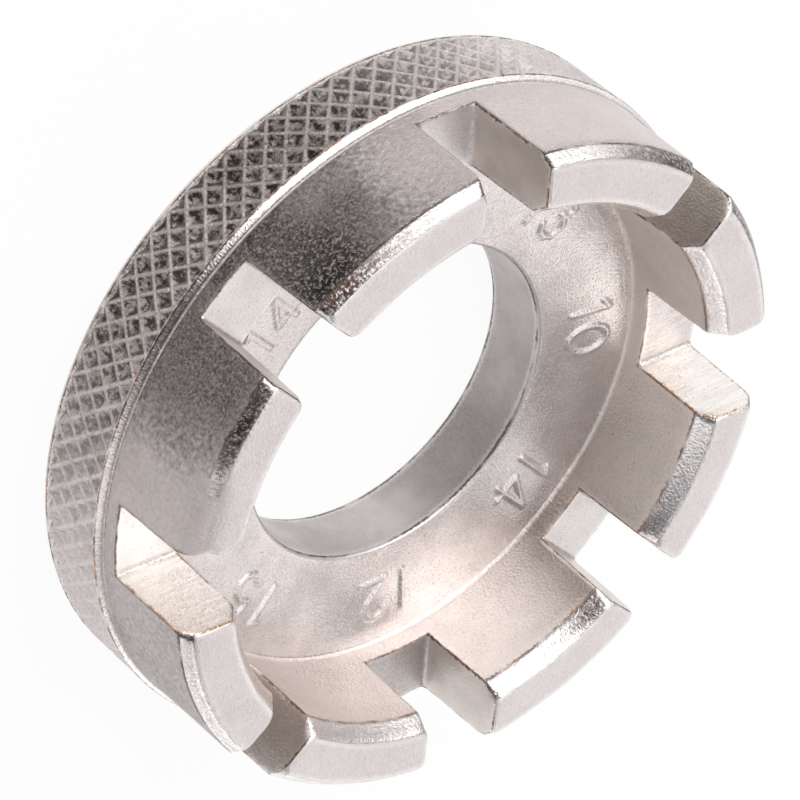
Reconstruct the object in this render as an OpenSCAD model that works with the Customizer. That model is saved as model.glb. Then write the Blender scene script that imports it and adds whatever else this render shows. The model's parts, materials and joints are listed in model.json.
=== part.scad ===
// Round eight-jaw spoke wrench: one plated casting, mm, lying on its flat back.
// +Z runs along the bore towards the crown of jaws; +X points at jaw 1, the widest.

/* [Rim] */
// Diameter over the knurled rim
rim_d = 34; // [30:0.5:44]
// Height of the knurled band from the back face
rim_h = 3.9; // [3:0.1:4.5]
// Bevel where the rim steps in to the crown
rim_bevel = 0.25; // [0.1:0.05:0.5]
// Bevel round the edge of the back face
back_bevel = 0.25; // [0.1:0.05:0.5]

/* [Crown] */
// Overall height, back face to the top of the jaws
overall_h = 10.2; // [8.5:0.1:13]
// Thickness of the crown's wall at its foot
wall_t = 3.3; // [2.4:0.1:4.5]
// Draft of the crown's outer wall, degrees
wall_draft = 1.2; // [0:0.1:3]
// Height of the bevel on the crown's outer lip
outer_lip_h = 0.6; // [0.2:0.05:1]
// Width of the bevel on the crown's outer lip
outer_lip_w = 0.45; // [0.2:0.05:0.8]
// Height of the bevel on the crown's inner lip
inner_lip_h = 0.9; // [0.3:0.05:1.4]
// Width of the bevel on the crown's inner lip
inner_lip_w = 0.55; // [0.2:0.05:0.9]

/* [Dish and bore] */
// Diameter of the through bore
bore_d = 16.5; // [12:0.25:22]
// Thickness of the plate at the bore
plate_t = 3.5; // [2.5:0.1:4.5]
// Rise of the dished floor from the bore out to the crown
dish_rise = 0.55; // [0:0.05:1]
// Radius where the dished floor meets the crown's inner wall
dish_fillet = 0.4; // [0.2:0.05:0.8]
// Bevel round the bore at both faces
bore_bevel = 0.15; // [0.05:0.05:0.4]

/* [Jaws] */
// Height of the jaw floors above the back face
jaw_floor_z = 5.1; // [4.7:0.1:6]
// Gap of jaw 1 at its floor, marked 10
jaw_1_w = 4.35; // [2.6:0.05:5]
// Gap of jaw 2 at its floor, marked 14
jaw_2_w = 2.95; // [2.6:0.05:5]
// Gap of jaw 3 at its floor, marked 12
jaw_3_w = 3.75; // [2.6:0.05:5]
// Gap of jaw 4 at its floor, marked 15
jaw_4_w = 2.85; // [2.6:0.05:5]
// Gap of jaw 5 at its floor, marked 11
jaw_5_w = 3.8; // [2.6:0.05:5]
// Gap of jaw 6 at its floor, marked 14
jaw_6_w = 3.1; // [2.6:0.05:5]
// Gap of jaw 7 at its floor, marked 13
jaw_7_w = 3.15; // [2.6:0.05:5]
// Gap of jaw 8 at its floor, marked 13
jaw_8_w = 3.3; // [2.6:0.05:5]
// Draft of the jaws' flat faces, degrees a side
jaw_draft = 1.2; // [0:0.1:3]
// Radius in the corners of the jaw floors
jaw_root_r = 0.25; // [0.1:0.05:0.4]
// Bevel on the jaws' top edges
jaw_mouth_bevel = 0.2; // [0.1:0.05:0.4]

/* [Hidden] */

// Jaw gaps in order, clockwise seen from the crown
jaw_gaps = [jaw_1_w, jaw_2_w, jaw_3_w, jaw_4_w, jaw_5_w, jaw_6_w, jaw_7_w, jaw_8_w];
// Turn of each jaw off its even place as cast, degrees
jaw_turns = [0.5, 0.5, 0, -1.5, -1, 0, 1, -0.5];
jaw_count = len(jaw_gaps);
jaw_pitch = 360 / jaw_count;

rim_r = rim_d / 2;
bore_r = bore_d / 2;
dish_from_r = bore_r + bore_bevel;
crown_foot_z = rim_h + rim_bevel;
crown_foot_r = rim_r - rim_bevel;
outer_lip_z = overall_h - outer_lip_h;
crown_top_r = crown_foot_r - (outer_lip_z - crown_foot_z) * tan(wall_draft);
cup_r = crown_foot_r - wall_t;
inner_lip_z = overall_h - inner_lip_h;
// Height of the dished floor where it meets the crown's inner wall
dish_edge_z = plate_t + dish_rise;

// How far cuts run past the solid
overrun = 0.5;
// Length of a jaw cut along its radius, from inside the cup to past the rim
jaw_cut_from_r = cup_r - wall_t;
jaw_cut_l = rim_r + overrun - jaw_cut_from_r;
fillet_steps = 4;
smooth = 240;

// Points on a quarter turn about c, from angle a0, in radius r
function corner(c, r, a0, turn) =
    [for (k = [0 : fillet_steps])
        let (a = a0 + turn * k / fillet_steps)
        [c.x + r * cos(a), c.y + r * sin(a)]];

// Half section of the ring: plate, knurled rim, crown and dish, as [radius, height]
module ring_section() {
    slope = atan2(dish_rise, cup_r - dish_from_r);
    fillet_c = [cup_r - dish_fillet,
                dish_edge_z - dish_fillet * tan(slope) + dish_fillet / cos(slope)];
    polygon(concat(
        [[bore_r, bore_bevel],
         [dish_from_r, 0],
         [rim_r - back_bevel, 0],
         [rim_r, back_bevel],
         [rim_r, rim_h],
         [crown_foot_r, crown_foot_z],
         [crown_top_r, outer_lip_z],
         [crown_top_r - outer_lip_w, overall_h],
         [cup_r + inner_lip_w, overall_h],
         [cup_r, inner_lip_z]],
        corner(fillet_c, dish_fillet, 0, slope - 90),
        [[dish_from_r, plate_t],
         [bore_r, plate_t - bore_bevel]]));
}

// Section of one jaw gap, [across, height], with drafted flanks, rounded roots and a bevelled mouth
module jaw_section(gap) {
    half = gap / 2;
    lean = tan(jaw_draft);
    mouth_z = overall_h - jaw_mouth_bevel;
    mouth = half + (mouth_z - jaw_floor_z) * lean;
    flare = jaw_mouth_bevel + overrun;
    root = [half - jaw_root_r, jaw_floor_z + jaw_root_r];
    right = concat(
        corner(root, jaw_root_r, -90, 90),
        [[mouth, mouth_z],
         [mouth + flare, mouth_z + flare]]);
    left = [for (k = [len(right) - 1 : -1 : 0]) [-right[k].x, right[k].y]];
    polygon(concat(right, left));
}

// One jaw gap, cut straight out through the crown's wall
module jaw_cut(gap, angle) {
    rotate([0, 0, angle])
        translate([jaw_cut_from_r, 0, 0])
            rotate([90, 0, 90])
                linear_extrude(height = jaw_cut_l)
                    jaw_section(gap);
}

// The whole casting: knurled rim, dished plate with its bore, and the crown of eight jaws
module wrench_body() {
    color([0.80, 0.77, 0.76])
        difference() {
            rotate_extrude($fn = smooth)
                ring_section();
            for (k = [0 : jaw_count - 1])
                jaw_cut(jaw_gaps[k], jaw_turns[k] - k * jaw_pitch);
        }
}

wrench_body();
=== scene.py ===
"""Looks of the round spoke wrench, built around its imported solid.

The casting is one closed mesh. Its sizes are in millimetres here, as on the maker's drawing,
and its points are turned into metres when the mesh is made.
"""

import json
import logging
import math
from dataclasses import dataclass
from enum import Enum, IntEnum

import bpy
import numpy as np
from mathutils import Matrix, Vector


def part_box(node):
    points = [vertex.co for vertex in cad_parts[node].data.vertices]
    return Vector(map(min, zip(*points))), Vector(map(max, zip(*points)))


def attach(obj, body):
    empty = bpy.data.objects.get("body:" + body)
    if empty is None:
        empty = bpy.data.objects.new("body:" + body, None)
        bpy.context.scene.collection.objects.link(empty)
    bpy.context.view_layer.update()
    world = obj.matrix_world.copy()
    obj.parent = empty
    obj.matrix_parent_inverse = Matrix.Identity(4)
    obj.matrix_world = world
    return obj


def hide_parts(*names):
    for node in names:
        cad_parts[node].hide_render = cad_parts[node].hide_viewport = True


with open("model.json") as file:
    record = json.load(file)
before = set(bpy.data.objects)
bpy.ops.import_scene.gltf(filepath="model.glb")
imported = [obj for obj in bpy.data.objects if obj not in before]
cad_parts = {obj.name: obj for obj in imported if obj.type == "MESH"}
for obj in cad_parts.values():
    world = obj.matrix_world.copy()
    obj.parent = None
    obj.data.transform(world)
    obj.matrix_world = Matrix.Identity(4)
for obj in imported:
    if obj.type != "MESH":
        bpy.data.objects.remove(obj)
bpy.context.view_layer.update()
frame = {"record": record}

log = logging.getLogger("spoke_wrench")

MM = 0.001
FULL_TURN = 2 * math.pi
NODE = "wrench_body"
BODY = "root"
# A distance in mm that counts as away from every edge and corner
FAR = 9.0
# A distance in mm longer than any on the casting, for the side where a jaw isn't
NO_JAW = 99.0
# Where the middle ring of a small bevel lies, as a share of the bevel
BEVEL_MIDDLE = 0.3

Points = np.ndarray
Indices = np.ndarray
Outline = list[tuple[float, float]]
Colour = tuple[float, float, float]
Socket = bpy.types.NodeSocket
Feed = bpy.types.NodeSocket | Colour | float


class Zone(IntEnum):
    """The zones of the casting, which differ in finish and partly in painted light, in the order of the
    mesh's material slots.
    """

    KNURL = 0
    STEP = 1
    WALL = 2
    LIP = 3
    TOP = 4
    CUP = 5
    FLAT = 6
    FLOOR = 7
    DISH = 8
    BORE = 9
    BACK = 10


def stacked(x: Points, y: Points, z: Points | float) -> Points:
    """Points from their x, y and z, which run along the last axis."""
    return np.stack(np.broadcast_arrays(x, y, z), axis=-1)


def polar(r: Points | float, angle: Points, z: Points | float) -> Points:
    """Points at a radius, a direction in radians and a height."""
    return stacked(r * np.cos(angle), r * np.sin(angle), z)


def rings(shape: Outline, angle: Points) -> Points:
    """Rings of points at the radii and heights of a shape, in the given directions."""
    r, z = (np.array(values)[:, None] for values in zip(*shape))
    return polar(r, angle, z)


def from_axis(points: Points) -> Points:
    """How far points are from the bore's axis."""
    return np.hypot(points[:, 0], points[:, 1])


def bearing(vectors: Points) -> Points:
    """Directions round the bore's axis, in degrees from 0 to 360."""
    return np.degrees(np.arctan2(vectors[:, 1], vectors[:, 0])) % 360


@dataclass(frozen=True)
class Jaw:
    """One jaw: its gap at the floor in mm, its direction in radians and its gauge mark."""

    gap: float
    angle: float
    mark: str

    def seen_from(self, points: Points) -> tuple[Points, Points]:
        """How far points lie along the jaw's direction and across it.

        Args:
            points: places in mm, whose first two columns are x and y.

        Returns:
            The distances along and those across, positive on the anticlockwise side.
        """
        c, s = math.cos(self.angle), math.sin(self.angle)
        x, y = points[:, 0], points[:, 1]
        return x * c + y * s, y * c - x * s

    def place(self, along: Points, across: Points | float, z: Points) -> Points:
        """Points from how far they lie along and across the jaw's direction."""
        c, s = math.cos(self.angle), math.sin(self.angle)
        return stacked(along * c - across * s, along * s + across * c, z)


@dataclass(frozen=True)
class CastingSizes:
    """The drawing of the casting, in millimetres and degrees."""

    rim_r: float
    overall_h: float
    bore_r: float
    rim_h: float = 3.9
    rim_bevel: float = 0.25
    back_bevel: float = 0.25
    wall_t: float = 3.3
    wall_draft: float = 1.2
    outer_lip_h: float = 0.6
    outer_lip_w: float = 0.45
    inner_lip_h: float = 0.9
    inner_lip_w: float = 0.55
    plate_t: float = 3.5
    dish_rise: float = 0.55
    bore_bevel: float = 0.15
    jaw_floor_z: float = 5.1
    jaw_draft: float = 1.2
    jaw_root_r: float = 0.25

    @property
    def foot_z(self) -> float:
        """Height of the crown's foot."""
        return self.rim_h + self.rim_bevel

    @property
    def foot_r(self) -> float:
        """Radius of the crown's outer wall at its foot."""
        return self.rim_r - self.rim_bevel

    @property
    def cup_r(self) -> float:
        """Radius of the crown's inner wall."""
        return self.foot_r - self.wall_t

    @property
    def outer_lip_z(self) -> float:
        """Height at which the outer lip's bevel starts."""
        return self.overall_h - self.outer_lip_h

    @property
    def inner_lip_z(self) -> float:
        """Height at which the inner lip's bevel starts."""
        return self.overall_h - self.inner_lip_h

    @property
    def wall_lean(self) -> float:
        """How far the outer wall leans in for each millimetre of height."""
        return math.tan(math.radians(self.wall_draft))

    @property
    def flat_lean(self) -> float:
        """How far a jaw's flat leans out for each millimetre of height."""
        return math.tan(math.radians(self.jaw_draft))

    @property
    def dish_slope(self) -> float:
        """Rise of the dished floor for each millimetre of radius."""
        return self.dish_rise / (self.cup_r - self.bore_r - self.bore_bevel)

    def wall_r(self, z: Points) -> Points:
        """Radius of the drafted outer wall at height z."""
        return self.foot_r - (z - self.foot_z) * self.wall_lean

    def dish_z(self, r: Points) -> Points:
        """Height of the dished floor at radius r."""
        return self.plate_t + (r - self.bore_r - self.bore_bevel) * self.dish_slope


def jaws_of(record: dict) -> tuple[Jaw, ...]:
    """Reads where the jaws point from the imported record, and gives each its gap and mark.

    Args:
        record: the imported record.

    Returns:
        The jaws in order, clockwise seen from the crown, the widest first.
    """
    places = {m["name"]: m["pos_m"] for m in record["mounts"]}
    gaps_and_marks = (
        (4.35, "10"), (2.95, "14"), (3.75, "12"), (2.85, "15"),
        (3.8, "11"), (3.1, "14"), (3.15, "13"), (3.3, "13"),
    )
    return tuple(
        Jaw(gap, math.atan2(places[f"jaw_{k}"][1], places[f"jaw_{k}"][0]), mark)
        for k, (gap, mark) in enumerate(gaps_and_marks, start=1)
    )


class Noise:
    """Smooth seeded noise over space, about -1 to 1."""

    SIZE = 256
    GAIN = 1.6
    LAYER_SHIFT = 7.3

    def __init__(self, seed: int) -> None:
        """Draws the lattice's directions.

        Args:
            seed: the number that fixes the draw.
        """
        draw = np.random.default_rng(seed)
        self.order = draw.permutation(self.SIZE)
        ways = draw.normal(size=(self.SIZE, 3))
        self.ways = ways / np.linalg.norm(ways, axis=1, keepdims=True)

    def __call__(self, points: Points, size: float) -> Points:
        """The noise at some points.

        Args:
            points: places in mm, one a row.
            size: the width of the noise's lumps in mm.

        Returns:
            One value a point.
        """
        p = points / size
        cell = np.floor(p).astype(int)
        f = p - cell
        fade = f * f * f * (f * (f * 6 - 15) + 10)
        total = np.zeros(len(p))
        for corner in np.ndindex(2, 2, 2):
            x, y, z = ((cell + corner) % self.SIZE).T
            pick = self.order[(self.order[(self.order[x] + y) % self.SIZE] + z) % self.SIZE]
            weight = np.prod(np.where(np.array(corner), fade, 1 - fade), axis=1)
            total += weight * np.einsum("ij,ij->i", self.ways[pick], f - corner)
        return total * self.GAIN

    def layered(self, points: Points, size: float, layers: int) -> Points:
        """Noise with finer, weaker layers added.

        Args:
            points: places in mm, one a row.
            size: the width of the widest lumps in mm.
            layers: how many layers, each half as wide and half as strong as the last.

        Returns:
            One value a point.
        """
        return sum(self(points + self.LAYER_SHIFT * k, size / 2**k) / 2**k for k in range(layers))


def rounded_max(a: Points, b: Points, radius: Points | float) -> Points:
    """The distance to what two solids share, with their common edge rounded.

    Args:
        a: distances to the first solid, negative inside it.
        b: distances to the second.
        radius: the edge's radius.

    Returns:
        The joined distances.
    """
    past = np.hypot(np.maximum(a + radius, 0), np.maximum(b + radius, 0))
    return np.minimum(np.maximum(a, b), -radius) + past


def rounded_min(a: Points, b: Points, radius: Points | float) -> Points:
    """The distance to two solids together, with a fillet of some radius between them."""
    return -rounded_max(-a, -b, radius)


def smooth_step(x: Points, low: float, high: float) -> Points:
    """A soft step from 0 at low to 1 at high."""
    t = np.clip((x - low) / (high - low), 0, 1)
    return t * t * (3 - 2 * t)


def graded(length: float, fine: float, coarse: float, growth: float = 1.6) -> Points:
    """Places along an edge, close together at both ends and wider apart between.

    Args:
        length: the edge's length.
        fine: the first step at each end.
        coarse: the widest step.
        growth: how many times as wide each step is as the last.

    Returns:
        Places from 0 to length.
    """
    start = [0.0]
    step = fine
    while start[-1] + step < length / 2 and step < coarse:
        start.append(start[-1] + step)
        step *= growth
    middle = length - 2 * start[-1]
    count = max(1, round(middle / coarse))
    inner = start[-1] + middle * np.arange(1, count) / count
    return np.concatenate([start, inner, length - np.array(start[::-1])])


@dataclass
class Skin:
    """A closed surface: its points in mm, its faces of four corners and the zone of each face."""

    points: Points
    faces: Indices
    zones: Indices

    def within(self, *zones: Zone) -> Points:
        """Which points belong to a face of some zones."""
        return np.isin(np.arange(len(self.points)), self.faces[np.isin(self.zones, zones)])


class MeshDraft:
    """A mesh while it is put together: points, faces and each face's zone."""

    WELD_DECIMALS = 5

    def __init__(self) -> None:
        """Starts with nothing."""
        self.points: list[Points] = []
        self.faces: list[Indices] = []
        self.zones: list[Indices] = []
        self.count = 0

    def add_points(self, points: Points) -> Indices:
        """Adds points.

        Args:
            points: an array whose last axis is x, y, z in mm.

        Returns:
            Their numbers, in the array's shape.
        """
        flat = points.reshape(-1, 3)
        numbers = self.count + np.arange(len(flat))
        self.points.append(flat)
        self.count += len(flat)
        return numbers.reshape(points.shape[:-1])

    def add_faces(self, corners: Indices, zone: Indices | int) -> None:
        """Adds faces of four corners. A triangle repeats its last corner.

        Args:
            corners: the point numbers, four a row.
            zone: the zone of all, or of each.
        """
        self.faces.append(corners)
        self.zones.append(np.broadcast_to(zone, len(corners)))

    def add_rings(self, numbers: Indices, zone: Indices | int) -> None:
        """Joins rings of equal count by faces.

        Args:
            numbers: the point numbers, one closed ring a row.
            zone: the zone of all faces, or an array with one for each.
        """
        after = np.roll(numbers, -1, axis=1)
        corners = np.stack([numbers[:-1], after[:-1], after[1:], numbers[1:]], axis=-1)
        zones = np.broadcast_to(zone, corners.shape[:2]).reshape(-1)
        self.add_faces(corners.reshape(-1, 4), zones)

    def zip_rings(self, low: Indices, high: Indices, zone: int) -> None:
        """Joins two rings of unlike counts by triangles, by angle.

        Args:
            low: the point numbers of the first ring, anticlockwise.
            high: those of the second.
            zone: the zone of the faces.
        """
        where = np.concatenate(self.points)
        (a, angle_a), (b, angle_b) = (self._from_first_angle(where, ring) for ring in (low, high))
        i = j = 0
        made = []
        while i < len(a) or j < len(b):
            if j >= len(b) or (i < len(a) and angle_a[i + 1] <= angle_b[j + 1]):
                made.append((a[i], a[(i + 1) % len(a)], b[j % len(b)], b[j % len(b)]))
                i += 1
            else:
                made.append((a[i % len(a)], b[(j + 1) % len(b)], b[j], b[j]))
                j += 1
        self.add_faces(np.array(made), zone)

    @staticmethod
    def _from_first_angle(where: Points, ring: Indices) -> tuple[Indices, Points]:
        """Turns a ring to start at its lowest angle.

        Args:
            where: the places of all points.
            ring: the ring's point numbers.

        Returns:
            The turned ring, and its angles with one more past the end.
        """
        angles = np.arctan2(where[ring, 1], where[ring, 0]) % FULL_TURN
        first = int(np.argmin(angles))
        angles = np.roll(angles, -first)
        return np.roll(ring, -first), np.append(angles, angles[0] + FULL_TURN)

    def welded(self) -> Skin:
        """Merges points that coincide and drops what that flattens.

        Returns:
            The closed surface.
        """
        points = np.concatenate(self.points)
        faces = np.concatenate(self.faces)
        zones = np.concatenate(self.zones)
        near = np.round(points, self.WELD_DECIMALS)
        _, first, back = np.unique(near, axis=0, return_index=True, return_inverse=True)
        faces = back.reshape(-1)[faces]
        after = np.roll(faces, -1, axis=1)
        distinct = (faces != after).sum(axis=1)
        crossed = (faces[:, 0] == faces[:, 2]) | (faces[:, 1] == faces[:, 3])
        keep = (distinct >= 3) & ~(crossed & (distinct == 4))
        return Skin(points[first], faces[keep], zones[keep])


@dataclass
class Crown:
    """The crown of jaws: its rows and columns of points, and the rounded solid that they lie on.

    Lengths are in mm and angles in degrees.
    """

    sizes: CastingSizes
    jaws: tuple[Jaw, ...]
    noise: Noise
    start_gap: float = 0.2
    dish_reach: float = 0.55
    fine: float = 0.055
    coarse: float = 0.36
    flat_coarse: float = 0.54
    floor_coarse: float = 0.11
    fillet_step: int = 10
    near_wall: float = 0.02
    near_cup: float = 0.01
    wall_edge_r: float = 0.12
    top_edge_r: float = 0.5
    top_run: float = 0.6
    dish_fillet: float = 0.2
    dish_skin: float = 0.08
    lip_edge_r: float = 0.08
    brow_r: float = 0.2
    worn_lip_r: float = 0.6
    worn_lip_from: float = 155.0
    worn_lip_full: float = 164.0
    worn_lip_end: float = 180.0
    outer_side: float = 1.2
    edge_spread: float = 0.3
    edge_lump: float = 1.1
    skin_rise: float = 0.012
    skin_lump: float = 2.6

    def __post_init__(self) -> None:
        """Lays out the rows."""
        s = self.sizes
        lip_r = s.wall_r(s.outer_lip_z)
        start_z = s.foot_z + self.start_gap
        at_floor = (s.wall_r(s.jaw_floor_z), s.jaw_floor_z)
        self.low_outer = self._rows([(s.wall_r(start_z), start_z), at_floor])[:-1]
        self.outline = self._rows([
            at_floor, (lip_r, s.outer_lip_z), (lip_r - s.outer_lip_w, s.overall_h),
            (s.cup_r + s.inner_lip_w, s.overall_h), (s.cup_r, s.inner_lip_z), (s.cup_r, s.jaw_floor_z)])
        edge, foot = s.cup_r - self.dish_fillet, s.cup_r - self.dish_reach
        fillet_top = s.dish_z(s.cup_r) + self.dish_fillet
        fillet = [(edge + self.dish_fillet * math.cos(a), fillet_top - self.dish_fillet * math.sin(a))
                  for a in np.radians(np.arange(self.fillet_step, 90, self.fillet_step))]
        down = self._rows([(s.cup_r, s.jaw_floor_z), (s.cup_r, fillet_top)])
        along = self._rows([(edge, s.dish_z(edge)), (foot, s.dish_z(foot))])
        self.low_inner = np.concatenate([down, fillet, along])[1:]

    def _rows(self, corners: Outline) -> Points:
        """Lays rows along an outline, close together at its corners.

        Args:
            corners: the outline's radii and heights.

        Returns:
            The radius and height of each row.
        """
        runs = []
        for (r0, z0), (r1, z1) in zip(corners[:-1], corners[1:]):
            length = math.hypot(r1 - r0, z1 - z0)
            share = graded(length, self.fine, self.coarse)[1:] / length
            runs.append(np.stack([r0 + (r1 - r0) * share, z0 + (z1 - z0) * share], axis=1))
        return np.concatenate([[corners[0]], *runs])

    def half_gap(self, jaw: Jaw, z: Points) -> Points:
        """Half of a jaw's gap at height z."""
        return jaw.gap / 2 + np.maximum(z - self.sizes.jaw_floor_z, 0) * self.sizes.flat_lean

    def build(self, draft: MeshDraft) -> tuple[Indices, Indices]:
        """Adds the crown.

        Args:
            draft: the mesh that takes it.

        Returns:
            The rings at the crown's foot and on the dished floor.
        """
        columns, zones = [], []
        count = len(self.jaws)
        in_order = sorted(self.jaws, key=lambda jaw: jaw.angle % FULL_TURN)
        for k, jaw in enumerate(in_order):
            after = in_order[(k + 1) % count]
            turn = FULL_TURN if k + 1 == count else 0.0
            for part, zone in ((self._gap_columns(jaw), Zone.FLOOR),
                               (self._flat_columns(jaw, 1), Zone.FLAT),
                               (self._tooth_columns(jaw, after, turn), None),
                               (self._flat_columns(after, -1)[:, ::-1], Zone.FLAT)):
                columns.append(part[:, :-1])
                zones.append(self._zones(part.shape[1] - 1, zone))
        numbers = draft.add_points(np.concatenate(columns, axis=1))
        draft.add_rings(numbers, np.concatenate(zones, axis=1))
        return numbers[0], numbers[-1]

    def _zones(self, count: int, upper: Zone | None) -> Indices:
        """Gives each face in some columns its zone.

        Args:
            count: how many columns of faces there are.
            upper: the zone above the jaw floor, or None for a tooth, where it goes by the outline.

        Returns:
            The zones, one row of faces a row.
        """
        s = self.sizes
        r, z = (self.outline[:-1] + self.outline[1:]).T / 2
        if upper is None:
            by_wall, by_top = r > s.wall_r(z) - self.near_wall, z > s.overall_h - self.near_wall
            upper = np.select([by_wall, by_top, r > s.cup_r + self.near_cup],
                              [Zone.WALL, Zone.TOP, Zone.LIP], Zone.CUP)
        low = np.where(self.low_inner[:, 0] < s.cup_r - self.dish_fillet / 2, Zone.DISH, Zone.CUP)
        names = [np.full(len(self.low_outer), Zone.WALL), np.broadcast_to(upper, len(r)), low]
        return np.repeat(np.concatenate(names)[:, None], count, axis=1)

    def _floor_rows(self) -> tuple[Points, Points]:
        """Lays the outline's rows along a jaw floor instead.

        Returns:
            The radius of each row, and its height.
        """
        s = self.sizes
        outer = s.wall_r(s.jaw_floor_z)
        even = np.linspace(0, 1, len(self.outline))
        places = graded(outer - s.cup_r, self.fine, self.floor_coarse)
        share = np.interp(even, np.linspace(0, 1, len(places)), places / places[-1])
        return outer + (s.cup_r - outer) * share, np.full(len(share), s.jaw_floor_z)

    def _gap_columns(self, jaw: Jaw) -> Points:
        """Lays the columns across a jaw's floor, from its clockwise flat to the other.

        Args:
            jaw: the jaw.

        Returns:
            The points, one row a row.
        """
        across = (graded(jaw.gap, self.fine, self.coarse) / jaw.gap - 0.5)[None, :] * jaw.gap
        floor_r, floor_z = self._floor_rows()
        r = np.concatenate([self.low_outer[:, 0], floor_r, self.low_inner[:, 0]])
        z = np.concatenate([self.low_outer[:, 1], floor_z, self.low_inner[:, 1]])
        along = np.sqrt(r[:, None] ** 2 - across**2)
        return jaw.place(along, across, z[:, None])

    def _flat_columns(self, jaw: Jaw, side: int) -> Points:
        """Lays the columns of a jaw's flat, from the floor up to the tooth.

        Args:
            jaw: the jaw.
            side: 1 for its anticlockwise flat, -1 for the other.

        Returns:
            The points, one row a row.
        """
        s = self.sizes
        height = s.overall_h - s.jaw_floor_z
        rise = (graded(height, self.fine, self.flat_coarse) / height)[None, :]
        floor_r, floor_z = self._floor_rows()
        low_half = jaw.gap / 2
        top_half = self.half_gap(jaw, self.outline[:, 1])
        low_along = np.sqrt(floor_r**2 - low_half**2)[:, None]
        top_along = np.sqrt(self.outline[:, 0] ** 2 - top_half**2)[:, None]
        along = low_along + (top_along - low_along) * rise
        z = floor_z[:, None] + (self.outline[:, 1] - floor_z)[:, None] * rise
        upper = jaw.place(along, side * self.half_gap(jaw, z), z)
        ends = []
        for rows in (self.low_outer, self.low_inner):
            near = np.sqrt(rows[:, 0] ** 2 - low_half**2)[:, None] * np.ones_like(rise)
            ends.append(jaw.place(near, side * low_half, rows[:, 1][:, None]))
        return np.concatenate([ends[0], upper, ends[1]])

    def _tooth_columns(self, jaw: Jaw, after: Jaw, turn: float) -> Points:
        """Lays the columns of a tooth.

        Args:
            jaw: the jaw on the tooth's clockwise side.
            after: the jaw on its other side.
            turn: what is added to that one's direction to come past the first.

        Returns:
            The points, one row a row.
        """
        rows = np.concatenate([self.low_outer, self.outline, self.low_inner])
        r, z = rows[:, 0][:, None], rows[:, 1][:, None]
        start = jaw.angle % FULL_TURN + np.arcsin(self.half_gap(jaw, z) / r)
        end = after.angle % FULL_TURN + turn - np.arcsin(self.half_gap(after, z) / r)
        length = self.sizes.foot_r * (end - start)[0, 0]
        share = (graded(length, self.fine, self.coarse) / length)[None, :]
        return polar(r, start + (end - start) * share, z)

    def surfaces(self, points: Points) -> tuple[list[Points], list[tuple[Points, Points]], Points]:
        """How far points lie from each sharp face of the crown.

        Args:
            points: places in mm, one a row.

        Returns:
            The distances beyond the outer wall, outer lip, top, inner lip and inner wall; those beyond
            each jaw's flats and above its floor; and that above the dish.
        """
        s = self.sizes
        r, z = from_axis(points), points[:, 2]
        lip_r = s.wall_r(s.outer_lip_z)
        ring = [(r - s.wall_r(z)) * math.cos(math.radians(s.wall_draft)),
                self._bevel(lip_r - r, z - s.outer_lip_z, s.outer_lip_w, s.outer_lip_h),
                z - s.overall_h,
                self._bevel(r - s.cup_r, z - s.inner_lip_z, s.inner_lip_w, s.inner_lip_h),
                s.cup_r - r]
        gaps = []
        for jaw in self.jaws:
            along, across = jaw.seen_from(points)
            beyond = np.where(along > 0, np.abs(across) - self.half_gap(jaw, z), NO_JAW)
            gaps.append((beyond, s.jaw_floor_z - z))
        return ring, gaps, (z - s.dish_z(r)) * math.cos(math.atan(s.dish_slope))

    @staticmethod
    def _bevel(inward: Points, up: Points, width: float, height: float) -> Points:
        """Distance above a lip's bevel that starts here and falls width in over height."""
        return (up * width - inward * height) / math.hypot(width, height)

    def distance(self, points: Points) -> Points:
        """Distance from points to the rounded, uneven crown and dished floor, negative inside.

        Args:
            points: places in mm, one a row.

        Returns:
            One distance a point.
        """
        s = self.sizes
        (outer, out_lip, top, in_lip, inner), gaps, floor = self.surfaces(points)
        r, z = from_axis(points), points[:, 2]
        uneven = 1 + self.edge_spread * self.noise(points, self.edge_lump)
        worn_off = self.worn_lip_r * self.lip_wear(points)
        lip_r = self.lip_edge_r * uneven + worn_off
        wall = np.maximum(rounded_max(outer, out_lip, lip_r), rounded_max(inner, in_lip, lip_r))
        high = smooth_step(z, s.outer_lip_z - self.top_run, s.overall_h)
        edge_r = (self.wall_edge_r + (self.top_edge_r - self.wall_edge_r) * high) * uneven
        for beyond, below in gaps:
            wall = rounded_max(wall, -rounded_max(beyond, below, s.jaw_root_r), edge_r)
        wall = rounded_max(wall, top, self.brow_r * uneven + worn_off * self.on_outer_side(r))
        joined = np.where(r < s.cup_r + s.wall_t / 2, rounded_min(wall, floor, self.dish_fillet), wall)
        return joined - self.unevenness(points)

    def lip_wear(self, points: Points) -> Points:
        """How far the lip is worn away, from 0 to 1, on the one tooth where it is."""
        turn = bearing(points)
        return smooth_step(turn, self.worn_lip_from, self.worn_lip_full) * (turn < self.worn_lip_end)

    def on_outer_side(self, r: Points) -> Points:
        """Which radii lie on the outer side of the crown's wall."""
        return r > self.sizes.foot_r - self.outer_side

    def unevenness(self, points: Points) -> Points:
        """How far the cast skin stands proud at some points, in mm, which is mostly just below zero."""
        return self.skin_rise * self.noise.layered(points, self.skin_lump, 2) - self.skin_rise

    def from_edges(self, points: Points) -> tuple[Points, Points]:
        """How far points of the surface are from its outer edges and from its inner corners.

        Args:
            points: places in mm, one a row.

        Returns:
            The distances to the nearest edge and to the nearest corner.
        """
        ring, gaps, floor = self.surfaces(points)
        faces = np.stack([*ring, *(-np.maximum(*gap) for gap in gaps)])
        second, first = np.sort(faces, axis=0)[-2:]
        corners = [np.maximum(np.abs(beyond), np.abs(below)) for beyond, below in gaps]
        corners.append(np.maximum(np.abs(ring[-1]), np.abs(floor)))
        return np.where(np.abs(floor) < self.dish_skin, FAR, first - second), np.min(corners, axis=0)

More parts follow.
